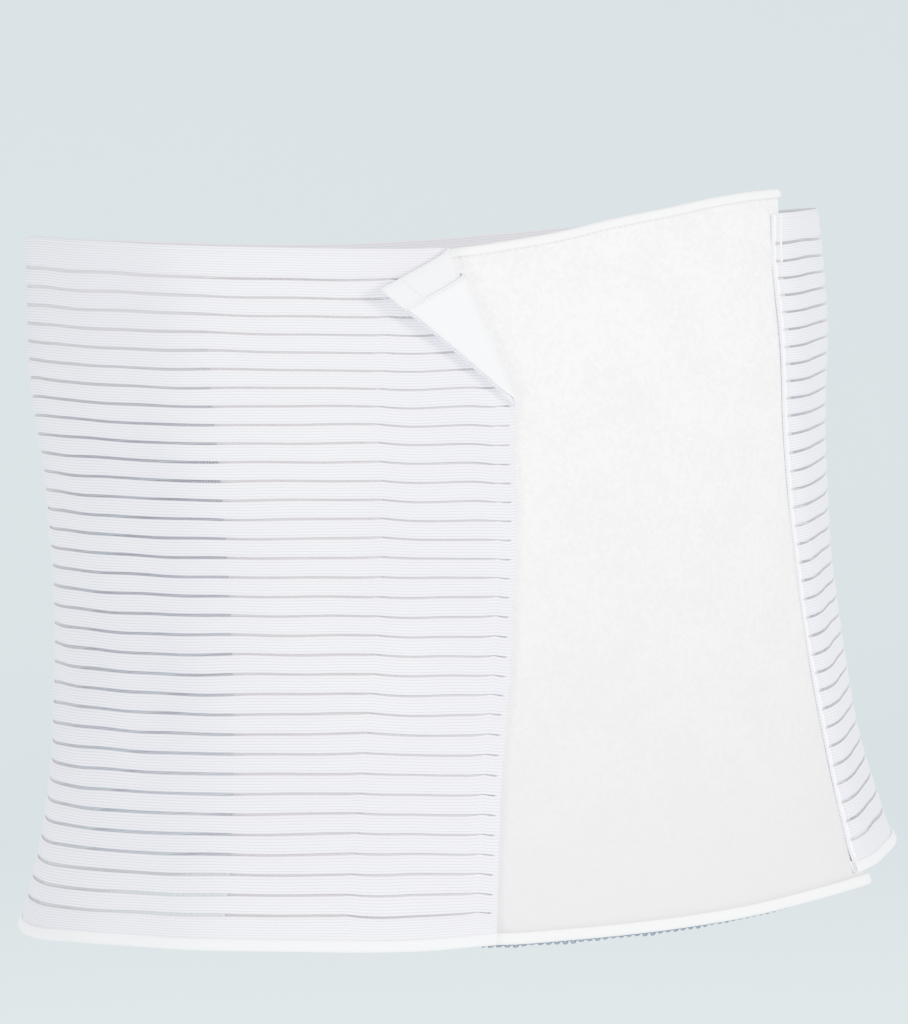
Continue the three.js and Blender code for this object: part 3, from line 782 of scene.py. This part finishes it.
def thread_bars(slit, first, last, pitch):
    """Three-sided bars straight across some slits, between two places along the girth, whose two ends
    lie inside the ribs."""
    slit_up = LOW_BAND + ROW_PITCH * slit
    count = int(np.max(last - first) / pitch)
    along = first + (last - first) * (np.arange(count) + 0.5) / count + 0 * slit
    shift, half = slit_shape(along, slit, slit_up)
    reach = (half + 0.12 * mm)[:, :, None, None] * np.array([-1, 1])[:, None]
    corner = np.array([(-0.87, -0.5), (0, 1), (0.87, -0.5)]) * CROSS_THREAD_RADIUS
    place_along = along[:, :, None, None] + corner[:, 0] + 0 * reach
    up = slit_up[:, :, None, None] + shift[:, :, None, None] + reach + 0 * corner[:, 0]
    off = wrap_offset(place_along, up) + 0.35 * ELASTIC_THICKNESS + corner[:, 1]
    return turned(place_along, wrap_height(place_along, up), off).reshape(-1, 3)


def cross_threads(material):
    """The thin threads that hold the ribs together, coloured dark as painted shade in the slits. They are
    closer in the lowest slits beside the panel's free end, where nothing shades the cloth from below, so
    that they fill those slits with painted shade."""
    slit = np.arange(SLIT_COUNT)[:, None]
    slit_up = LOW_BAND + ROW_PITCH * slit
    first = seam_line(slit_up / BINDER_HEIGHT) - GIRTH + SEAM_HEM
    points = thread_bars(slit, first, lap_end(slit_up) - LAP_HEM, THREAD_PITCH)
    lowest = np.arange(CLOSE_THREAD_SLITS)[:, None]
    close = thread_bars(lowest, PANEL_FREE_END - CLOSE_THREAD_LENGTH, PANEL_FREE_END, CLOSE_THREAD_PITCH)
    points = np.concatenate([points, close])
    total = len(points) // 6
    sides = repeated(grid_faces(2, 3, True), total, 6)
    caps = repeated(np.array([(2, 1, 0), (3, 4, 5)]), total, 6)
    piece = make_piece("cross_threads", points, [sides, caps])
    return finish_piece(piece, "ribbed_elastic", material)


def seam_threads(material):
    """A raised cord up the seam's hem, drawn in at every slit, and a short second one in the top band."""
    up = np.linspace(2 * mm, BINDER_HEIGHT - 0.6 * mm, 560)
    in_slit = near((up - LOW_BAND + ROW_PITCH / 2) % ROW_PITCH, ROW_PITCH / 2, 0.9 * mm)
    in_slit = in_slit * (up < BINDER_HEIGHT - TOP_BAND + 1 * mm)
    along = seam_line(up / BINDER_HEIGHT) - GIRTH + SEAM_THREAD_FROM_END
    along = along + 0.25 * mm * np.sin(up / (9 * mm))
    off = wrap_offset(along, up) + ELASTIC_THICKNESS - 0.35 * mm - 0.5 * mm * in_slit
    line = place(along, wrap_height(along, up), off)
    piece = cords("seam_thread", line[None], 0.75 * mm * (1 - 0.5 * in_slit))
    finish_piece(piece, "ribbed_elastic", material)
    top_up = np.linspace(BINDER_HEIGHT - TOP_BAND - 8 * mm, BINDER_HEIGHT - 0.8 * mm, 40)
    top_along = seam_line(top_up / BINDER_HEIGHT) - GIRTH + CORNER_THREAD_FROM_END
    top_off = wrap_offset(top_along, top_up) + ELASTIC_THICKNESS - 0.3 * mm
    top_line = place(top_along, wrap_height(top_along, top_up), top_off)
    second = cords("seam_corner_thread", top_line[None], 0.4 * mm)
    return piece, finish_piece(second, "ribbed_elastic", material)


def corner_stitches(material):
    """The stitched lines that show on the turned-back corner: along the hook strip's upper edge, and
    across the top band where the hem ends."""
    end = lap_end(BINDER_HEIGHT)

    def along_hooks(along, lift):
        up = BINDER_HEIGHT - HOOK_END_MARGIN - 1.1 * mm
        return turned(along, wrap_height(along, up), HOOK_OFFSET - lift)

    def across_band(up, lift):
        along = lap_end(up) - LAP_HEM_DOUBLED + 0.6 * mm
        return turned(along, wrap_height(along, up), wrap_offset(along, up) - 0.65 * mm - lift)

    lower = stitches("hook_stitches", along_hooks, end - 33 * mm, end - 3 * mm, 2.6 * mm, 0.5 * mm,
                     0.22 * mm)
    across = stitches("hem_stitches", across_band, BINDER_HEIGHT - 1.2 * mm,
                      BINDER_HEIGHT - TOP_BAND + 1 * mm, 2.2 * mm, 0.5 * mm, 0.2 * mm)
    finish_piece(lower, "hook_tape", material)
    return lower, finish_piece(across, "ribbed_elastic", material)


def panel_stitches(tan, shaded_overcast):
    """The stitched line under the panel's top binding, and the overcast thread under its lower one, made
    nearly black as painted shade.
    """
    first = hook_edge(BINDER_HEIGHT) - 20 * mm
    last = seam_line(1.0) + SEAM_OVERLAP - 1 * mm

    def under_binding(along, lift):
        z = panel_top(along) - TOP_BINDING_HEIGHT - 0.35 * mm
        return place(along, z, PANEL_BORDER_THICKNESS + 0.1 * mm + lift)

    upper = stitches("panel_top_stitches", under_binding, first, last, 2.3 * mm, 0.5 * mm, 0.34 * mm)
    finish_piece(upper, "panel_top_binding", tan)
    along = np.linspace(lap_end(0.0) - 4 * mm, OVERCAST_END, 900)
    turn = 2 * math.pi * along / OVERCAST_PITCH
    fade = 1 - 0.55 * between(along, OVERCAST_END - 55 * mm, OVERCAST_END)
    uneven = 1 + wandering(along * 4, 0, 21, 0.35)
    z = panel_low(along) - (0.5 - 0.38 * np.cos(turn)) * mm * fade * uneven
    off = PANEL_BORDER_THICKNESS / 2 + 0.55 * mm * np.sin(turn)
    line = place(along + 0.35 * mm * np.sin(2 * turn), z, off)
    lower = cords("panel_low_overcast", line[None], 0.55 * mm * fade)
    finish_piece(lower, "panel_low_binding", shaded_overcast)


def camera():
    back = Vector((math.sin(CAMERA_AZIMUTH) * math.cos(CAMERA_ELEVATION),
                   -math.cos(CAMERA_AZIMUTH) * math.cos(CAMERA_ELEVATION), math.sin(CAMERA_ELEVATION)))
    level_right = (-back).cross(Vector((0, 0, 1))).normalized()
    level_up = level_right.cross(-back)
    right = math.cos(CAMERA_ROLL) * level_right - math.sin(CAMERA_ROLL) * level_up
    upright = math.sin(CAMERA_ROLL) * level_right + math.cos(CAMERA_ROLL) * level_up
    data = bpy.data.cameras.new("photo_camera")
    focal_pixels = (CAMERA_DISTANCE - FRONT_DEPTH) / PIXEL_SIZE_AT_FRONT
    data.sensor_width = SENSOR
    data.lens = SENSOR * focal_pixels / PHOTO_HEIGHT
    data.clip_end = 30
    piece = bpy.data.objects.new("photo_camera", data)
    turn = Matrix((right, upright, back)).transposed().to_4x4()
    piece.matrix_world = Matrix.Translation(CAMERA_AIM + back * CAMERA_DISTANCE) @ turn
    bpy.context.scene.collection.objects.link(piece)
    bpy.context.scene.camera = piece


# Shader expressions

class Value:
    """A socket's output. Arithmetic on it adds Math nodes."""

    def __init__(self, shader, socket):
        self.shader, self.socket = shader, socket

    def __add__(self, other):
        return self.shader.math("ADD", self, other)

    __radd__ = __add__

    def __sub__(self, other):
        return self.shader.math("SUBTRACT", self, other)

    def __rsub__(self, other):
        return self.shader.math("SUBTRACT", other, self)

    def __mul__(self, other):
        return self.shader.math("MULTIPLY", self, other)

    __rmul__ = __mul__

    def __pow__(self, other):
        return self.shader.math("POWER", self, other)


class Shader:
    """One material's nodes, with a Principled surface whose plain values are set directly."""

    def __init__(self, name, roughness, sheen=0.0, sheen_roughness=0.5, specular=0.35):
        self.material = bpy.data.materials.new(name)
        self.material.use_nodes = True
        self.tree = self.material.node_tree
        self.surface = self.tree.nodes["Principled BSDF"]
        self.surface.inputs["Roughness"].default_value = roughness
        self.surface.inputs["Sheen Weight"].default_value = sheen
        self.surface.inputs["Sheen Roughness"].default_value = sheen_roughness
        self.surface.inputs["Specular IOR Level"].default_value = specular

    def node(self, kind, settings=None, output=0, **inputs):
        """Adds a node, sets its settings first, then the values or links of its sockets."""
        node = self.tree.nodes.new(kind)
        for key, value in (settings or {}).items():
            setattr(node, key, value)
        for key, value in inputs.items():
            name = key.replace("_", " ")
            socket = node.inputs[int(key[1:])] if key[1:].isdigit() else node.inputs[name]
            self.feed(socket, value)
        return Value(self, node.outputs[output])

    def feed(self, socket, value):
        if isinstance(value, Value):
            self.tree.links.new(value.socket, socket)
        else:
            socket.default_value = value

    def math(self, operation, *values):
        inputs = {f"i{k}": value for k, value in enumerate(values)}
        return self.node("ShaderNodeMath", {"operation": operation}, **inputs)

    def sine(self, value):
        return self.math("SINE", value)

    def step(self, value, start, end):
        """0 before start and 1 after end, smooth between them."""
        settings = {"interpolation_type": "SMOOTHSTEP"}
        return self.node("ShaderNodeMapRange", settings, Value=value, From_Min=start, From_Max=end)

    def cloth(self):
        """The two cloth coordinates of the piece: along and across, as two values."""
        uv = self.node("ShaderNodeUVMap", {"uv_map": "cloth"})
        return (self.node("ShaderNodeSeparateXYZ", output=0, Vector=uv),
                self.node("ShaderNodeSeparateXYZ", output=1, Vector=uv))

    def object_place(self):
        return self.node("ShaderNodeTexCoord", output=3)

    def noise(self, scale, detail=2.0, roughness=0.5):
        return self.node("ShaderNodeTexNoise", Vector=self.object_place(), Scale=scale,
                         Detail=detail, Roughness=roughness)

    def mix(self, factor, low, high):
        """A colour between two colours."""
        return self.node("ShaderNodeMix", {"data_type": "RGBA"}, output=2, i0=factor, i6=low, i7=high)

    def done(self, colour, height=None, depth=0.0):
        """Feeds the colour, and bumps the surface by a height of 0 to 1 that is depth metres at most."""
        self.feed(self.surface.inputs["Base Color"], colour)
        if height is not None:
            bump = self.node("ShaderNodeBump", Height=height, Distance=depth, Strength=1.0)
            self.feed(self.surface.inputs["Normal"], bump)
        return self.material


def elastic_material():
    """Cords side by side along the ribs, each a string of small knit loops, in a cool white. The edge
    share paints shade on the slits' sides, the inner face round the hollow, the hem and the crease, and
    below 0 it lightens the cloth that is turned back."""
    shader = Shader("ribbed_elastic", roughness=0.9, sheen=0.15)
    along, cord = shader.cloth()
    across_cord = shader.math("ABSOLUTE", shader.sine(cord * math.pi))
    row = shader.math("FLOOR", cord)
    loops = shader.sine(along * (2 * math.pi / (1.25 * mm)) + row * math.pi) * 0.5 + 0.5
    fuzz = shader.noise(2200, 1.0)
    height = across_cord ** 0.7 * 0.62 + loops * 0.25 + fuzz * 0.13
    # Painted shade: the colour is darker where the cords and loops are low
    shade = shader.step(height, 0.15, 0.75)
    patches = shader.step(shader.noise(14, 1.0), 0.35, 0.65)
    light = shader.mix(patches, (0.71, 0.66, 0.84, 1), (0.77, 0.73, 0.88, 1))
    colour = shader.mix(shade, (0.33, 0.30, 0.46, 1), light)
    self_edge = shader.step(shader.math("ABSOLUTE", cord - (TOTAL_CORDS - 2.2)), 0.55, 0.2)
    colour = shader.mix(self_edge * SELF_EDGE_TINT, colour, (0.50, 0.48, 0.56, 1))
    # The edge share is painted shade on the slits' sides, the inner face, the hem and the crease; below 0
    # it marks the turned-back reverse
    in_slit = shader.node("ShaderNodeAttribute", {"attribute_name": "edge"}, output=2)
    colour = shader.mix(shader.step(in_slit, 0, 1) * SLIT_SHADE, colour, (0.24, 0.21, 0.24, 1))
    colour = shader.mix(shader.step(in_slit, 0, -1) * REVERSE_TINT, colour, (0.88, 0.88, 0.95, 1))
    return shader.done(colour, height, 0.42 * mm)


def velour_material():
    """A brushed, foam-backed pile: fine tufts over slow mottling, in a warm white. Painted shade makes it
    greyer low down, and where the edge share is high."""
    shader = Shader("loop_velour", roughness=0.95, sheen=0.35, sheen_roughness=0.6, specular=0.2)
    clumps = shader.noise(260, 1.0, 0.6)
    mottling = shader.noise(38, 1.0, 0.55)
    grain = shader.noise(480, 2.0, 0.75)
    height = clumps * 0.25 + grain * 0.75
    tone = shader.step(mottling * 0.25 + clumps * 0.2 + grain * 0.55, 0.41, 0.60)
    colour = shader.mix(tone, (0.76, 0.68, 0.69, 1), (0.99, 0.93, 0.93, 1))
    # Painted shade: the panel is darker towards the bottom
    height_above = shader.node("ShaderNodeSeparateXYZ", output=2, Vector=shader.object_place())
    lower = shader.step(height_above, 0.12, -0.2)
    colour = shader.mix(lower, colour, (0.46, 0.40, 0.43, 1))
    # The edge share is painted shade: beside the bindings and where the wrap covers the panel
    painted_shade = shader.node("ShaderNodeAttribute", {"attribute_name": "edge"}, output=2)
    colour = shader.mix(painted_shade * PANEL_SHADE, colour, (0.36, 0.30, 0.33, 1))
    return shader.done(colour, height, 0.5 * mm)


def hook_material():
    """Moulded hooks in close rows on a smooth, cold white ground."""
    shader = Shader("hook_tape", roughness=0.5, specular=0.45)
    along, up = shader.cloth()
    rows = shader.sine(along * (2 * math.pi / (1.1 * mm))) * shader.sine(up * (2 * math.pi / (1.3 * mm)))
    height = shader.step(rows, 0.1, 0.8)
    patches = shader.noise(60, 2.0)
    colour = shader.mix(patches, (0.86, 0.89, 0.93, 1), (0.90, 0.92, 0.95, 1))
    return shader.done(colour, height, 0.12 * mm)


def binding_material(name, low, high):
    """A knitted binding: fine slanting ribs over faint fuzz."""
    shader = Shader(name, roughness=0.85, sheen=0.2)
    along, around = shader.cloth()
    lay = along * (2 * math.pi / (0.9 * mm)) + around * (2 * math.pi / (1.6 * mm))
    slant = shader.sine(lay) * 0.5 + 0.5
    fuzz = shader.noise(900, 1.0)
    height = slant * 0.6 + fuzz * 0.4
    colour = shader.mix(shader.step(height, 0.2, 0.7), low, high)
    return shader.done(colour, height, 0.18 * mm)


def thread_material(name, low, high):
    """Twisted thread: a fine slanting lay, in one colour."""
    shader = Shader(name, roughness=0.8, sheen=0.1)
    fuzz = shader.noise(1800, 2.0)
    return shader.done(shader.mix(fuzz, low, high), fuzz, 0.1 * mm)


def stage():
    """Floor and backdrop in one bowl, whose height is a share of the squared distance past its flat
    middle, and soft studio light."""
    shader = Shader("backdrop", roughness=0.9, specular=0.1)
    tone = shader.noise(0.8, 0.0)
    material = shader.done(shader.mix(tone, (0.50, 0.72, 0.79, 1), (0.55, 0.76, 0.82, 1)))
    steps = np.linspace(-BACKDROP_REACH, BACKDROP_REACH, 49)
    x, y = np.meshgrid(steps, steps, indexing="ij")
    z = FLOOR_HEIGHT + BACKDROP_RISE * np.maximum(np.hypot(x, y) - BACKDROP_FLAT, 0) ** 2
    points = np.stack([x, y, z], axis=-1).reshape(-1, 3)
    sweep = make_piece("backdrop", points, [grid_faces(len(steps), len(steps))])
    sweep.data.materials.append(material)
    lights = (
        ("key", (1.4, -2.8, 0.7), (-1.4, 2.8, -0.7), 0.8, 670),
        ("fill", (-2.3, -2.4, 0.2), (2.3, 2.4, -0.2), 1.1, 450),
        ("backdrop_light", (0, 1.2, 1.9), (0, 1, -0.9), 3, 430),
    )
    for name, spot, direction, size, power in lights:
        data = bpy.data.lights.new(name, "AREA")
        data.size = size
        data.energy = power
        lamp = bpy.data.objects.new(name, data)
        lamp.location = spot
        lamp.rotation_euler = Vector(direction).to_track_quat("-Z", "Y").to_euler()
        bpy.context.scene.collection.objects.link(lamp)
    world = bpy.data.worlds.new("studio")
    bpy.context.scene.world = world
    world.use_nodes = True
    world.node_tree.nodes["Background"].inputs["Color"].default_value = (0.93, 0.96, 1.0, 1)
    world.node_tree.nodes["Background"].inputs["Strength"].default_value = 0.16


camera()
stage()
wrap = elastic_wrap(elastic_material())
wrap_piping = wrap_low_binding(
    binding_material("wrap_binding", (0.80, 0.79, 0.84, 1), (0.92, 0.91, 0.94, 1)))
loop_panel(velour_material())
panel_bindings(
    binding_material("panel_top_binding", (0.84, 0.81, 0.79, 1), (0.95, 0.93, 0.90, 1)),
    binding_material("panel_low_binding", (0.82, 0.78, 0.79, 1), (0.94, 0.90, 0.91, 1)),
)
# The backing is dark as painted shade: it only shows through the slits
backing_shade = thread_material("hook_backing_shade", (0.30, 0.27, 0.29, 1), (0.37, 0.34, 0.36, 1))
hooks = hook_strip(hook_material(), backing_shade)
white = thread_material("white_thread", (0.88, 0.87, 0.90, 1), (0.94, 0.93, 0.95, 1))
# The cross threads are real; their dark colour is painted shade in the slits
net = cross_threads(thread_material("cross_thread", (0.26, 0.22, 0.25, 1), (0.34, 0.30, 0.33, 1)))
seam_lines = seam_threads(white)
corner_lines = corner_stitches(thread_material("grey_thread", (0.50, 0.50, 0.56, 1), (0.62, 0.62, 0.68, 1)))
panel_stitches(
    thread_material("tan_thread", (0.52, 0.40, 0.30, 1), (0.64, 0.52, 0.41, 1)),
    # A real overcast thread, made nearly black as painted shade under the binding
    thread_material("overcast_thread_shade", (0.015, 0.02, 0.04, 1), (0.04, 0.05, 0.08, 1)),
)
